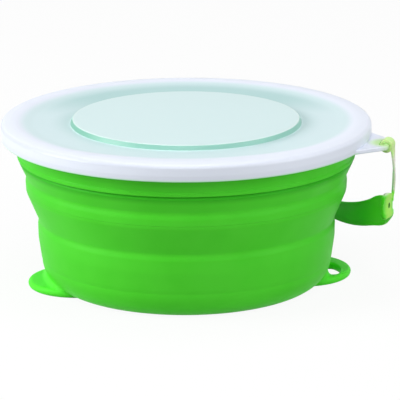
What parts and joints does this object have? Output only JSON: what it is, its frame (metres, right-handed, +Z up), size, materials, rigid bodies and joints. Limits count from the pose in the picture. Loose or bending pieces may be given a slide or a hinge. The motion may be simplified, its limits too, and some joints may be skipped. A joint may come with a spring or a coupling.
{
  "type": "collapsible bowl",
  "caption": "Round silicone bowl that folds flat in steps, with ears at its foot and a frosted press-on lid whose side tab carries a hanging strap.",
  "frame": {"origin": "centre of the flat foot, on the bowl's axis, on the surface that it stands on", "axes": "+Z up along the bowl's axis, +X towards the side with the pierced ear and the lid's tab, -Y towards the viewer of the picture"},
  "size_m": [0.1594, 0.15, 0.0681],
  "materials": {
    "silicone": "satin, solid spring green",
    "lid_plastic": "frosted, translucent white",
    "strap_silicone": "satin, slightly translucent green"
  },
  "bodies": {
    "base_cup": {"base_cup": "silicone"},
    "middle_ring": {"middle_ring": "silicone", "lower_fold": "silicone"},
    "rim_collar": {"rim_collar": "silicone", "upper_fold": "silicone"},
    "lid": {"lid": "lid_plastic"},
    "lid_strap": {"lid_strap": "strap_silicone"}
  },
  "joints": [
    {"name": "middle_slide", "type": "slide", "parent": "base_cup", "child": "middle_ring", "axis": [0, 0, 1], "range_m": [-0.0185, 0], "deforming": ["lower_fold"]},
    {"name": "collar_slide", "type": "slide", "parent": "middle_ring", "child": "rim_collar", "axis": [0, 0, 1], "range_m": [-0.018, 0], "deforming": ["upper_fold"]},
    {"name": "lid_lift", "type": "slide", "parent": "rim_collar", "child": "lid", "axis": [0, 0, 1], "range_m": [0, 0.08]},
    {"name": "strap_swing", "type": "hinge", "parent": "lid", "child": "lid_strap", "pos_m": [0.08046, -0.02036, 0.0618], "axis": [-0.2453, -0.9694, 0], "range_deg": [0, 150]}
  ]
}
